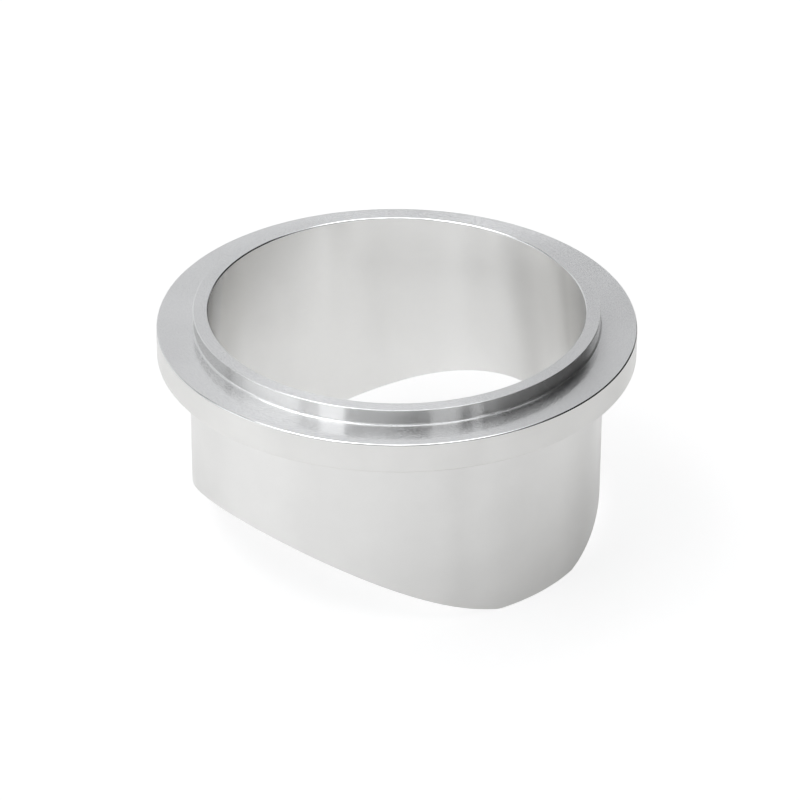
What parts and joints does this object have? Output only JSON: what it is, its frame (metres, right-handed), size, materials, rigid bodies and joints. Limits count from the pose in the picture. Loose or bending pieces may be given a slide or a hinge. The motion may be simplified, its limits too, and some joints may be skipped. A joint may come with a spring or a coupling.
{
  "type": "v-band weld flange",
  "caption": "Round turned weld flange with a raised pilot lip, a flat sealing face and a V-band clamp rim on a short tube cut to a saddle that fits a larger pipe.",
  "frame": {"origin": "on the bore's axis, level with the flat sealing face", "axes": "+Z along the bore, out of the valve end, so the pilot lip is just above the origin and the saddle is below it. The pipe that the saddle sits on runs along Y"},
  "size_m": [0.0706, 0.0706, 0.0355],
  "materials": {
    "aluminium": "fine turned, bare"
  },
  "bodies": {
    "root": {"weld_flange": "aluminium"}
  },
  "joints": []
}
